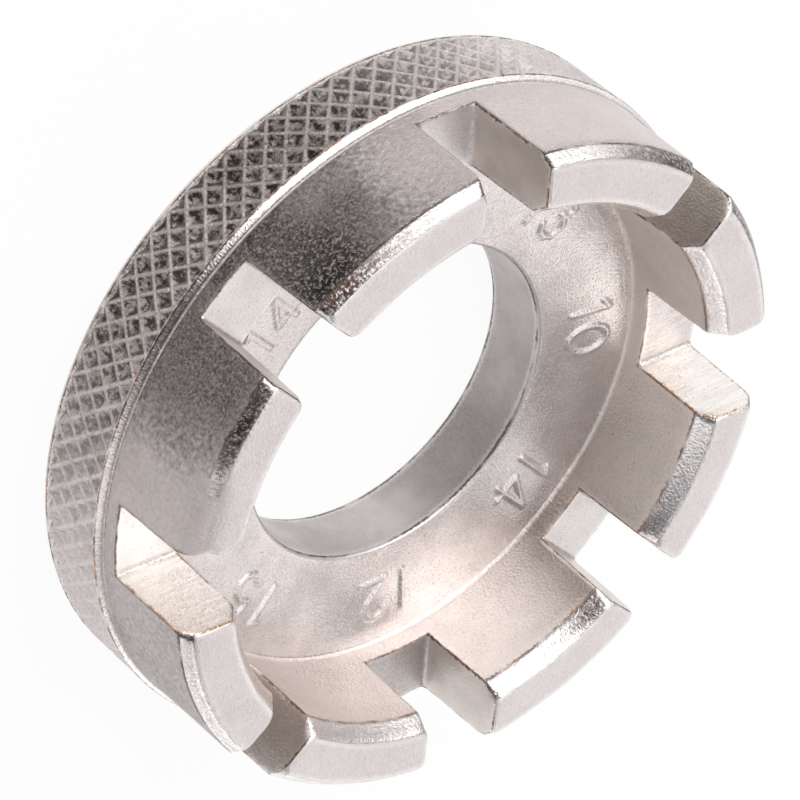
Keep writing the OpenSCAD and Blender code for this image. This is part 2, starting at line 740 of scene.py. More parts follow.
    def settle(self, points: Points, rounds: int = 5, reach: float = 0.004, least: float = 0.25) -> Points:
        """Moves points onto the rounded solid.

        Args:
            points: places in mm, one a row.
            rounds: how many times to move them.
            reach: the step over which the slope is measured.
            least: the slope's square below which a move is held back.

        Returns:
            The moved points.
        """
        for _ in range(rounds):
            here = self.distance(points)
            slope = [(self.distance(points + reach * axis) - here) / reach for axis in np.eye(3)]
            slope = np.stack(slope, axis=1)
            size = np.maximum((slope**2).sum(axis=1), least)
            points = points - (here / size)[:, None] * slope
        return points


@dataclass
class Rim:
    """The knurled band and the rounded step up to the crown. Lengths are in mm, angles in radians."""

    sizes: CastingSizes
    noise: Noise
    around: int = 90
    steps: int = 8
    axial_pitch: float = 1.36
    first_angle: float = math.radians(125.6)
    first_z: float = 1.03
    depth: float = 0.28
    deepest: float = 1.15
    land: float = 0.02
    edge_run: float = 0.1
    pit_spread: float = 0.3
    pit_lump: float = 1.3
    torn_depth: float = 0.035
    torn_ridges: float = 0.35
    torn_lump: float = 0.5
    torn_shift: float = 40.0
    back_inset: float = 0.01
    wall_start: float = 0.38

    # How far the rounded step's rings lie in from the rim and up from the band's top
    STEP_PROFILE = ((0.0, -0.06), (0.015, 0.0), (0.06, 0.05), (0.13, 0.13), (0.2, 0.2), (0.245, 0.27))

    def build(self, draft: MeshDraft) -> tuple[Indices, Indices]:
        """Adds the rim.

        Args:
            draft: the mesh that takes it.

        Returns:
            The rings at the back's edge and on the crown's wall.
        """
        s = self.sizes
        columns = self.around * self.steps
        angle = self.first_angle + np.arange(columns) * FULL_TURN / columns
        z = self._band_heights()[:, None]
        depth = self._depths(angle, z)
        band = draft.add_points(polar(s.rim_r - depth, angle, z))
        self._add_knurl(draft, band, depth)
        middle = s.back_bevel * BEVEL_MIDDLE
        bevel = [(s.rim_r - s.back_bevel, 0.0), (s.rim_r - middle, middle)]
        low = draft.add_points(rings([*bevel, (s.rim_r - self.back_inset, s.back_bevel)], angle))
        draft.add_rings(np.concatenate([low, band[:1]]), Zone.STEP)
        step = [(s.rim_r - inward, s.rim_h + up) for inward, up in self.STEP_PROFILE]
        top_z = s.rim_h + self.wall_start
        high = draft.add_points(rings([*step, (s.wall_r(top_z), top_z)], angle))
        draft.add_rings(np.stack([band[-1], high[0]]), Zone.KNURL)
        draft.add_rings(high, Zone.STEP)
        return low[0], high[-1]

    def _band_heights(self) -> Points:
        """Heights of the band's rows, which fall on the knurl's crossings.

        Returns:
            The heights, from the back up.
        """
        step_z = self.axial_pitch / self.steps
        lowest = self.sizes.back_bevel + self.edge_run
        first = math.ceil((lowest - self.first_z) / step_z)
        last = math.floor((self.sizes.rim_h - self.edge_run - self.first_z) / step_z)
        return self.first_z + np.arange(first, last + 1) * step_z

    def _depths(self, angle: Points, z: Points) -> Points:
        """How deep the knurl lies below the rim, uneven and a little torn as a pressed one is.

        Args:
            angle: the columns' directions.
            z: the rows' heights, as a column.

        Returns:
            The depths, one row a row.
        """
        share = self.pit_depth(angle, z)
        smooth = polar(self.sizes.rim_r, angle, z).reshape(-1, 3)
        deeper = 1 + self.pit_spread * self.noise(smooth, self.pit_lump).reshape(share.shape)
        lumps = self.noise.layered(smooth + self.torn_shift, self.torn_lump, 2)
        torn = self.torn_depth * np.abs(lumps).reshape(share.shape)
        return self.depth * np.minimum(share * deeper, self.deepest) + torn * (self.torn_ridges + share)

    def pit_depth(self, angle: Points, z: Points) -> Points:
        """How deep the knurl's pits are, as a share of their full depth.

        Args:
            angle: directions in radians.
            z: heights in mm.

        Returns:
            From 0 on the ridges to 1 at a pit's bottom.
        """
        across = (angle - self.first_angle) / FULL_TURN * self.around
        up = (z - self.first_z) / self.axial_pitch
        off = [np.abs(way - np.round(way)) for way in (across + up, across - up)]
        return np.clip((np.minimum(*off) - self.land) / (0.5 - self.land), 0, 1)

    @staticmethod
    def _add_knurl(draft: MeshDraft, band: Indices, depth: Points) -> None:
        """Joins the band's points, each cell split along the ridge or valley that crosses it.

        Args:
            draft: the mesh that takes the faces.
            band: the point numbers, one ring a row.
            depth: how deep each point lies.
        """
        after = np.roll(band, -1, axis=1)
        deep_after = np.roll(depth, -1, axis=1)
        a, b, c, d = (x.reshape(-1) for x in (band[:-1], after[:-1], after[1:], band[1:]))
        rise = np.abs(depth[:-1] - deep_after[1:]).reshape(-1)
        fall = np.abs(deep_after[:-1] - depth[1:]).reshape(-1)
        along = (rise <= fall)[:, None]
        first = np.where(along, np.stack([a, b, c, c], 1), np.stack([a, b, d, d], 1))
        second = np.where(along, np.stack([a, c, d, d], 1), np.stack([b, c, d, d], 1))
        draft.add_faces(np.concatenate([first, second]), Zone.KNURL)


@dataclass
class Dish:
    """The dished floor with its raised gauge numbers, the bore and the flat back. Lengths are in mm."""

    sizes: CastingSizes
    jaws: tuple[Jaw, ...]
    outer_gap: float = 0.65
    fine: float = 0.083
    coarse: float = 0.28
    plain_columns: int = 240
    bore_rows: int = 10
    back_rows: int = 12
    back_gap: float = 0.3
    mark_half_w: float = 1.75
    mark_low_r: float = 9.65
    mark_high_r: float = 12.42
    mark_r: float = 11.05
    mark_h: float = 2.08
    stroke: float = 0.34
    relief: float = 0.11
    crest: float = 0.02
    skirt: float = 0.07

    # The digits' strokes, in heights of a digit about its middle, to the right and up
    STROKES = {
        "0": [(0.35 * math.sin(math.radians(a)), 0.53 * math.cos(math.radians(a)))
              for a in range(0, 361, 20)],
        "1": [(-0.17, 0.36), (0, 0.5), (0, -0.5)],
        "2": [(-0.3, 0.28), (-0.2, 0.44), (0, 0.5), (0.2, 0.44), (0.29, 0.26), (0.2, 0.04),
              (-0.32, -0.5), (0.34, -0.5)],
        "3": [(-0.24, 0.4), (-0.08, 0.5), (0.1, 0.48), (0.22, 0.36), (0.18, 0.2), (0, 0.12),
              (0.2, 0.03), (0.29, -0.16), (0.24, -0.38), (0.04, -0.5), (-0.18, -0.46), (-0.29, -0.3)],
        "4": [(0.1, -0.5), (0.1, 0.5), (-0.36, -0.27), (0.36, -0.27)],
        "5": [(0.26, 0.5), (-0.2, 0.5), (-0.27, 0.08), (0, 0.16), (0.22, 0.06), (0.31, -0.15),
              (0.24, -0.38), (0.02, -0.5), (-0.3, -0.36)],
    }
    # Where the two digits' middles lie along the mark, and how far a mark reaches out and sideways
    DIGITS_AT = (-0.52, 0.27)
    REACH = (0.7, 0.9)

    def build(self, draft: MeshDraft) -> tuple[Indices, Indices]:
        """Adds the floor, the bore and the back.

        Args:
            draft: the mesh that takes them.

        Returns:
            The floor's outer ring and the back's outer ring.
        """
        s = self.sizes
        b = s.bore_bevel
        r = self._steps([s.cup_r - self.outer_gap, self.mark_high_r, self.mark_low_r, s.bore_r + b],
                        [False, True, False])
        floor = draft.add_points(rings([(x, s.dish_z(x)) for x in r], self._mark_angles()))
        draft.add_rings(floor, Zone.DISH)
        middle = b * BEVEL_MIDDLE
        bore = [(s.bore_r, z) for z in np.linspace(s.plate_t - b, b, self.bore_rows)]
        bore = [(s.bore_r + middle, s.plate_t - middle), *bore, (s.bore_r + middle, middle)]
        back_r = np.linspace(s.bore_r + b, s.rim_r - s.back_bevel - self.back_gap, self.back_rows)
        even = np.arange(self.plain_columns) * FULL_TURN / self.plain_columns
        plain = draft.add_points(rings([*bore, *((x, 0.0) for x in back_r)], even))
        draft.zip_rings(floor[-1], plain[0], Zone.BORE)
        draft.add_rings(plain[:len(bore)], Zone.BORE)
        draft.add_rings(plain[len(bore) - 1:], Zone.BACK)
        return floor[0], plain[-1]

    def _steps(self, ends: list[float], finely: list[bool]) -> Points:
        """Lays places along runs.

        Args:
            ends: where the runs start and end.
            finely: whether each run is finely spaced.

        Returns:
            The places.
        """
        runs = [np.array(ends[:1])]
        for a, b, fine in zip(ends[:-1], ends[1:], finely):
            count = max(1, math.ceil(abs(b - a) / (self.fine if fine else self.coarse)))
            runs.append(a + (b - a) * np.arange(1, count + 1) / count)
        return np.concatenate(runs)

    def _mark_angles(self) -> Points:
        """Lays directions all round, finely spaced at the gauge numbers.

        Returns:
            The directions in radians.
        """
        half = self.mark_half_w / self.mark_r
        places = sorted(jaw.angle % FULL_TURN for jaw in self.jaws)
        ends, finely = [], []
        for place in places:
            ends += [place - half, place + half]
            finely += [True, False]
        ends.append(places[0] + FULL_TURN - half)
        return self._steps([end * self.mark_r for end in ends], finely)[:-1] / self.mark_r

    def relief_at(self, points: Points) -> Points:
        """How far the gauge numbers stand up at some points of the floor.

        Args:
            points: x and y in mm, one a row.

        Returns:
            One height a point, in mm.
        """
        height = np.zeros(len(points))
        for jaw in self.jaws:
            along, across = jaw.seen_from(points)
            out, right = (along - self.mark_r) / self.mark_h, -across / self.mark_h
            near = (np.abs(out) < self.REACH[0]) & (np.abs(right) < self.REACH[1])
            for digit, at in zip(jaw.mark, self.DIGITS_AT):
                place = np.stack([right[near] - at, out[near]], axis=1)
                away = self._to_stroke(place, self.STROKES[digit]) * self.mark_h
                up = self.relief * (1 - smooth_step(away, self.crest, self.stroke / 2 + self.skirt))
                height[near] = np.maximum(height[near], up)
        return height

    @staticmethod
    def _to_stroke(places: Points, stroke: Outline) -> Points:
        """How far places are from a digit's stroke.

        Args:
            places: to the right and up, one a row.
            stroke: the points that it joins.

        Returns:
            One distance a place.
        """
        best = np.full(len(places), np.inf)
        for a, b in zip(np.array(stroke[:-1]), np.array(stroke[1:])):
            share = np.clip((places - a) @ (b - a) / ((b - a) @ (b - a)), 0, 1)
            best = np.minimum(best, np.linalg.norm(places - a - share[:, None] * (b - a), axis=1))
        return best


class PaintedShade(Enum):
    """How much shade is painted onto the plate by direction, a painted dark reflection: pairs of degrees and
    a share from 0 to 1.
    """

    WALL = ((88, 0.0), (94, 0.24), (104, 0.3), (110, 0.4), (115, 0.74), (120, 1.0), (131, 1.0), (137, 0.8),
            (151, 0.81), (157, 0.6), (164, 0.26), (176, 0.2), (185, 0.38), (215, 0.45), (225, 0.0))
    STEP = ((118, 0.0), (128, 0.3), (138, 0.8), (150, 0.85), (160, 0.6), (205, 0.5), (215, 0.0))
    OUTER_LIP = ((40, 1.0), (60, 0.98), (68, 0.7), (74, 0.25), (80, 0.0), (100, 0.04), (108, 0.36),
                 (114, 0.68), (119, 0.88), (129, 0.95), (137, 0.91), (143, 0.91), (152, 1.0), (158, 0.85),
                 (167, 0.3), (225, 0.35), (232, 0.0))
    INNER_WALL = ((112, 0.0), (122, 0.15), (127, 0.45), (132, 0.85), (140, 0.6), (150, 0.35), (165, 0.25),
                  (200, 0.2), (220, 0.0))
    DISH = ((112, 0.0), (126, 0.45), (144, 0.45), (158, 0.0))
    FLOOR = ((120, 0.0), (128, 0.12), (142, 0.12), (150, 0.0), (255, 0.0), (264, 0.6), (276, 0.6),
             (290, 0.25), (325, 0.25), (335, 0.0))
    INNER_LIP = ((48, 0.1), (60, 0.2), (75, 0.2), (85, 0.1), (95, 0.0), (118, 0.0), (126, 0.8), (145, 0.8),
                 (151, 0.1), (154, 0.0))
    KNURL = ((60, 0.0), (80, 0.5), (95, 0.78), (105, 0.93), (120, 1.0), (145, 0.88), (158, 0.7),
             (168, 0.48), (180, 0.3), (192, 0.12), (205, 0.0))
    FLAT = ((100, 0.0), (125, 0.6), (145, 0.6), (165, 0.25), (190, 0.2), (215, 0.0))

    def at(self, degrees: Points) -> Points:
        """The share at some directions."""
        return np.interp(degrees, *zip(*self.value))


def linked(name: str, data: bpy.types.ID) -> bpy.types.Object:
    """Makes an object and links it to the scene.

    Args:
        name: the object's name.
        data: its mesh, camera or lamp.

    Returns:
        The object.
    """
    obj = bpy.data.objects.new(name, data)
    bpy.context.scene.collection.objects.link(obj)
    return obj


@dataclass
class Casting:
    """The whole casting as one closed mesh. Lengths are in mm and angles in degrees."""

    sizes: CastingSizes
    jaws: tuple[Jaw, ...]
    seed: int = 41
    foot_gap: float = 0.14
    dish_overlap: float = 0.1
    dish_slack: float = 0.01
    edge_clear: float = 0.3
    bore_clear: float = 2.0
    lip_gone: float = 0.55
    lip_unlined: float = 0.4
    # The jaws with rubbed streaks that also carry painted light, and the one where they cover the floor
    rubbed_and_painted_light_jaws: tuple[int, ...] = (1, 5)
    rubbed_and_painted_light_floor_jaw: int = 1
    rub_and_painted_light_from: float = 0.15
    rub_and_painted_light_to: float = 0.3
    # How the painted shade is broken into patches and turned about
    patch_least: float = 0.92
    patch_spread: float = 0.16
    patch_lump: float = 6.0
    patch_turn: float = 40.0
    least_level: float = 0.3

    def build(self) -> bpy.types.Object:
        """Makes the casting's object.

        Returns:
            The object, linked to the scene.
        """
        noise = Noise(self.seed)
        crown = Crown(self.sizes, self.jaws, noise)
        dish = Dish(self.sizes, self.jaws)
        draft = MeshDraft()
        crown_foot, crown_floor = crown.build(draft)
        rim_back, rim_top = Rim(self.sizes, noise).build(draft)
        floor_edge, back_edge = dish.build(draft)
        draft.zip_rings(rim_top, crown_foot, Zone.WALL)
        draft.zip_rings(crown_floor, floor_edge, Zone.DISH)
        draft.zip_rings(back_edge, rim_back, Zone.BACK)
        skin = draft.welded()
        self._join_worn_lip(skin, crown)
        self._settle(skin, crown)
        edge, hollow = self._edges(skin, crown)
        floor = skin.within(Zone.DISH)
        skin.points[floor, 2] += dish.relief_at(skin.points[floor, :2])
        return self._object(skin, {"edge": edge, "hollow": hollow})

    def _join_worn_lip(self, skin: Skin, crown: Crown) -> None:
        """Gives the faces of the worn outer lip the wall's finish.

        Args:
            skin: the surface.
            crown: the crown.
        """
        place = skin.points[skin.faces[:, 0]]
        worn = (crown.lip_wear(place) > self.lip_gone) & (skin.zones == Zone.LIP)
        skin.zones = np.where(worn & crown.on_outer_side(from_axis(place)), Zone.WALL, skin.zones)

    def _settle(self, skin: Skin, crown: Crown) -> None:
        """Moves the crown's points onto its rounded solid.

        Args:
            skin: the surface.
            crown: the crown.
        """
        s, points = self.sizes, skin.points
        moving = skin.within(Zone.WALL, Zone.LIP, Zone.TOP, Zone.CUP, Zone.FLAT, Zone.FLOOR)
        moving &= points[:, 2] > s.foot_z + self.foot_gap
        r = from_axis(points)
        by_dish = (r < s.cup_r + self.dish_overlap) & (r > s.cup_r - crown.dish_reach - self.dish_slack)
        moving |= by_dish & (points[:, 2] > s.plate_t)
        points[moving] = crown.settle(points[moving])

    def _edges(self, skin: Skin, crown: Crown) -> tuple[Points, Points]:
        """How far each point is from an outer edge and from an inner corner.

        Args:
            skin: the surface.
            crown: the crown.

        Returns:
            The distances from an edge and those from a corner.
        """
        s, points = self.sizes, skin.points
        r, z = from_axis(points), points[:, 2]
        edge, hollow = np.full(len(points), FAR), np.full(len(points), FAR)
        crowned = (z > s.foot_z + self.edge_clear) & (r > s.bore_r + self.bore_clear)
        edge[crowned], hollow[crowned] = crown.from_edges(points[crowned])
        unlined = (crown.lip_wear(points) > self.lip_unlined) & crown.on_outer_side(r)
        edge[unlined & (z > s.outer_lip_z - self.edge_clear)] = FAR
        b = s.bore_bevel
        for ring_r, ring_z in ((s.rim_r, s.rim_h), (s.rim_r, s.back_bevel), (s.rim_r - s.back_bevel, 0),
                               (s.bore_r, b), (s.bore_r + b, 0), (s.bore_r, s.plate_t - b)):
            edge = np.minimum(edge, np.hypot(r - ring_r, z - ring_z))
        return edge, np.minimum(hollow, np.hypot(r - s.foot_r, z - s.foot_z))

    def _painted_shade(self, mesh: bpy.types.Mesh, skin: Skin) -> Points:
        """How much shade is painted onto the plate at each point, a painted dark reflection mostly on one
        side of the casting.

        Args:
            mesh: the casting's mesh, for its normals.
            skin: its surface.

        Returns:
            A share a point, from 0 to 1.
        """
        normals = np.zeros(len(skin.points) * 3, np.float32)
        mesh.vertex_normals.foreach_get("vector", normals)
        normals = normals.reshape(-1, 3)
        lumps = Noise(self.seed + 1).layered(skin.points, self.patch_lump, 2)
        patches = self.patch_least + self.patch_spread * lumps
        facing, place = bearing(normals), bearing(skin.points)
        about = facing + self.patch_turn * (patches - self.patch_least)
        inward = (normals[:, :2] * skin.points[:, :2]).sum(axis=1) < 0
        level = np.hypot(normals[:, 0], normals[:, 1]) ** 2
        lips = np.where(inward, PaintedShade.INNER_LIP.at(about), PaintedShade.OUTER_LIP.at(about))
        share = PaintedShade.WALL.at(about) * level
        for zone, values in ((Zone.CUP, PaintedShade.INNER_WALL.at(about) * level),
                             (Zone.FLAT, PaintedShade.FLAT.at(facing) * level),
                             (Zone.BORE, PaintedShade.FLAT.at(facing) * level),
                             (Zone.LIP, lips / np.maximum(level, self.least_level) * level),
                             (Zone.DISH, PaintedShade.DISH.at(place)),
                             (Zone.FLOOR, PaintedShade.FLOOR.at(place)),
                             (Zone.STEP, PaintedShade.STEP.at(place)),
                             (Zone.KNURL, PaintedShade.KNURL.at(place))):
            inside = skin.within(zone)
            share[inside] = values[inside]
        return np.clip(share * patches, 0, 1)

    def _rubbed_and_painted_light(self, points: Points) -> Points:
        """Where nipples have worn the jaws in streaks, which also carries painted light: a painted highlight
        on the flats and a painted shade on the floors.

        Args:
            points: the casting's points.

        Returns:
            A share a point, from 0 to 1.
        """
        share = np.zeros(len(points))
        for number in self.rubbed_and_painted_light_jaws:
            jaw = self.jaws[number - 1]
            along, across = jaw.seen_from(points)
            beyond = np.abs(across) - jaw.gap / 2
            there = along > 0
            if number != self.rubbed_and_painted_light_floor_jaw:
                there &= beyond > -self.rub_and_painted_light_from
            rub_and_painted_light = 1 - smooth_step(beyond, self.rub_and_painted_light_from, self.rub_and_painted_light_to)
            share[there] = np.maximum(share, rub_and_painted_light)[there]
        return share

    def _object(self, skin: Skin, masks: dict[str, Points]) -> bpy.types.Object:
        """Makes the object, with its masks as point attributes.

        Args:
            skin: the finished surface.
            masks: the masks that are known so far, by name.

        Returns:
            The object, linked to the scene.
        """
        mesh = bpy.data.meshes.new(NODE + "_plated")
        corners = [tuple(dict.fromkeys(face)) for face in skin.faces.tolist()]
        mesh.from_pydata((skin.points * MM).tolist(), [], corners)
        mesh.polygons.foreach_set("material_index", skin.zones.astype(np.int32))
        mesh.polygons.foreach_set("use_smooth", skin.zones != Zone.KNURL)
        # The painted shade, and the rubbed streaks with their painted light, become point attributes
        masks = {**masks, "dull": self._painted_shade(mesh, skin), "rubbed": self._rubbed_and_painted_light(skin.points)}
        for name, values in masks.items():
            mesh.attributes.new(name, "FLOAT", "POINT").data.foreach_set("value", values.astype(np.float32))
        mesh.update()
        return linked("plated_casting", mesh)


class Wiring:
    """Short ways to add nodes to a tree."""

    def __init__(self, tree: bpy.types.NodeTree) -> None:
        """Takes the tree where the nodes go."""
        self.tree = tree

    def node(self, kind: str, inputs: dict[str | int, Feed], **settings: object) -> bpy.types.Node:
        """Adds a node.

        Args:
            kind: the node's type.
            inputs: what feeds each input, by name or number.
            settings: the node's own settings.

        Returns:
            The node.
        """
        node = self.tree.nodes.new(kind)
        for name, value in settings.items():
            setattr(node, name, value)
        for name, value in inputs.items():
            self.feed(node.inputs[name], value)
        return node

    def feed(self, socket: Socket, value: Feed) -> None:
        """Feeds an input.

        Args:
            socket: the input.
            value: a socket to link, or a number, a colour or a vector to set.
        """
        if isinstance(value, Socket):
            self.tree.links.new(value, socket)
        elif isinstance(value, tuple) and socket.type == "RGBA":
            socket.default_value = (*value, 1)
        else:
            socket.default_value = value

    def group(self, tree: bpy.types.NodeTree, values: dict[str, float]) -> dict[str, Socket]:
        """Places a group with values of its own, and gives its outputs by name."""
        return {out.name: out for out in self.node("ShaderNodeGroup", values, node_tree=tree).outputs}

    def math(self, operation: str, a: Feed, b: Feed = 0.0, c: Feed = 0.0) -> Socket:
        """What a Math node makes of two or three values."""
        return self.node("ShaderNodeMath", {0: a, 1: b, 2: c}, operation=operation).outputs[0]

    def vector(self, operation: str, place: Socket, by: Feed) -> Socket:
        """A place that is scaled by a number, or stretched or moved by a vector."""
        inputs = {0: place, "Scale" if operation == "SCALE" else 1: by}
        return self.node("ShaderNodeVectorMath", inputs, operation=operation).outputs[0]

    def ramp(self, value: Feed, low: Feed, high: Feed, start: Feed = 0.0, end: Feed = 1.0) -> Socket:
        """A value carried from one range to another, and held at its ends."""
        inputs = {0: value, 1: low, 2: high, 3: start, 4: end}
        return self.node("ShaderNodeMapRange", inputs, clamp=True).outputs[0]

    def mix(self, share: Feed, a: Feed, b: Feed) -> Socket:
        """Colour b over colour a by a share."""
        return self.node("ShaderNodeMix", {0: share, 6: a, 7: b}, data_type="RGBA").outputs[2]

    def noise(self, place: Socket, size_mm: Feed, detail: float, roughness: float) -> Socket:
        """Makes noise.

        Args:
            place: where it is read, in mm.
            size_mm: how wide its lumps are.
            detail: how many finer layers it has.
            roughness: how strong those are.

        Returns:
            The noise, about 0 to 1.
        """
        scaled = self.vector("SCALE", place, self.math("DIVIDE", 1.0, size_mm))
        inputs = {"Vector": scaled, "Scale": 1.0, "Detail": detail, "Roughness": roughness}
        return self.node("ShaderNodeTexNoise", inputs).outputs[0]

    def place_mm(self) -> Socket:
        """The point's place on the casting in mm."""
        place = self.node("ShaderNodeTexCoord", {}).outputs["Object"]
        return self.vector("SCALE", place, 1 / MM)

    def mask(self, name: str) -> Socket:
        """One of the casting's point attributes."""
        return self.node("ShaderNodeAttribute", {}, attribute_name=name).outputs["Fac"]


class GroupDraft(Wiring):
    """A shader node group while it is put together. Its inputs and outputs are numbers."""

    def __init__(self, name: str, inputs: dict[str, float]) -> None:
        """Makes the group with its inputs.

        Args:
            name: the group's name.
            inputs: each input with its value.
        """
        super().__init__(bpy.data.node_groups.new(name, "ShaderNodeTree"))
        for label, value in inputs.items():
            socket = self.tree.interface.new_socket(label, in_out="INPUT", socket_type="NodeSocketFloat")
            socket.default_value = value
        self.given = self.tree.nodes.new("NodeGroupInput").outputs

    def finished(self, outputs: dict[str, Socket]) -> bpy.types.NodeTree:
        """Gives the group its outputs.

        Args:
            outputs: what feeds each output, by the output's name.

        Returns:
            The group.
        """
        for label in outputs:
            self.tree.interface.new_socket(label, in_out="OUTPUT", socket_type="NodeSocketFloat")
        self.node("NodeGroupOutput", outputs)
        return self.tree


@dataclass(frozen=True)
class Spots:
    """Spots that noise makes: their width in mm, and the noise's values where they start and are full."""

    width: float
    start: float
    full: float
    detail: float = 2.0
    roughness: float = 0.6
    least: float = 0.0

    def at(self, w: Wiring, place: Socket) -> Socket:
        """How strong the spots are at a place in mm, from the least to 1."""
        noise = w.noise(place, self.width, self.detail, self.roughness)
        return w.ramp(noise, self.start, self.full, self.least)


@dataclass(frozen=True)
class CastGrain:
    """The grain of a plated casting: its height, dark pits, bright grains, clouds and patches.

    Widths are in grains here, and those of the spots in mm.
    """

    coarse_width: float = 5.0
    coarse_height: float = 0.25
    coarse_pits: float = 0.15
    pit_softness: float = 0.05
    bright_width: float = 1.3
    bright_start: float = 0.5
    bright_full: float = 0.58
    bright_shift: tuple[float, float, float] = (31.0, 17.0, 5.0)
    clouds: Spots = Spots(2.2, 0.35, 0.65, detail=3.0)
    patches: Spots = Spots(3.4, 0.42, 0.6, roughness=0.5)

    def group(self) -> bpy.types.NodeTree:
        """Makes the node group.

        Returns:
            The group.
        """
        g = GroupDraft("cast_grain", {"Grain mm": 0.12, "Stretch": 1.0, "Pit level": 0.4})
        place, size = g.place_mm(), g.given["Grain mm"]
        stretch = {"X": 1.0, "Y": 1.0, "Z": g.given["Stretch"]}
        squeezed = g.vector("MULTIPLY", place, g.node("ShaderNodeCombineXYZ", stretch).outputs[0])
        shifted = g.vector("ADD", squeezed, self.bright_shift)
        coarse_mm, bright_mm = (g.math("MULTIPLY", size, by) for by in (self.coarse_width, self.bright_width))
        fine = g.noise(squeezed, size, detail=3.0, roughness=0.6)
        coarse = g.noise(place, coarse_mm, detail=2.0, roughness=0.5)
        bright = g.noise(shifted, bright_mm, detail=2.0, roughness=0.6)
        level = g.math("ADD", g.given["Pit level"], self.coarse_pits / 2)
        shallow, deep = (g.math(way, level, self.pit_softness) for way in ("ADD", "SUBTRACT"))
        return g.finished({
            "Height": g.math("MULTIPLY_ADD", coarse, self.coarse_height, fine),
            "Pits": g.ramp(g.math("MULTIPLY_ADD", coarse, self.coarse_pits, fine), shallow, deep),
            "Grains": g.ramp(bright, self.bright_start, self.bright_full),
            "Clouds": self.clouds.at(g, place),
            "Patches": self.patches.at(g, place),
        })


@dataclass(frozen=True)
class Wear:
    """One kind of edge mark, a worn one or the darker colour in corners: its name, the mask that it follows
    and its usual width in mm.

    The real width is ragged, from the least share of the usual one to the spread more than that.
    The mark is full over the core, a share of the width next to the edge or the corner.
    """

    name: str
    mask: str
    width: float
    least: float
    spread: float
    core: float


@dataclass(frozen=True)
class EdgeWear:
    """The marks along a casting's edges: worn lines, bands worn bright, burnt places, and a darker colour in
    inner corners.
    """

    kinds: tuple[Wear, ...] = (
        Wear("Line", "edge", 0.06, least=0.2, spread=1.6, core=0.5),
        Wear("Band", "edge", 0.3, least=0.5, spread=0.9, core=0.35),
        # A darker colour in inner corners
        Wear("Dirt", "hollow", 0.12, least=0.2, spread=1.6, core=0.3),
    )
    ragged: Spots = Spots(0.16, 0.3, 0.7, detail=3.0, roughness=0.65)
    broken: Spots = Spots(1.5, 0.34, 0.52)
    burnt: Spots = Spots(0.7, 0.42, 0.56)

    def group(self) -> bpy.types.NodeTree:
        """Makes the node group.

        Returns:
            The group.
        """
        g = GroupDraft("edge_wear", {kind.name + " mm": kind.width for kind in self.kinds})
        place = g.place_mm()
        ragged = self.ragged.at(g, place)
        made = {}
        for kind in self.kinds:
            share = g.math("MULTIPLY_ADD", ragged, kind.spread, kind.least)
            width = g.math("MULTIPLY", g.given[kind.name + " mm"], share)
            made[kind.name] = g.ramp(g.mask(kind.mask), width, g.math("MULTIPLY", width, kind.core))
        made["Line"] = g.math("MULTIPLY", made["Line"], self.broken.at(g, place))
        made["Burnt"] = self.burnt.at(g, place)
        return g.finished(made)


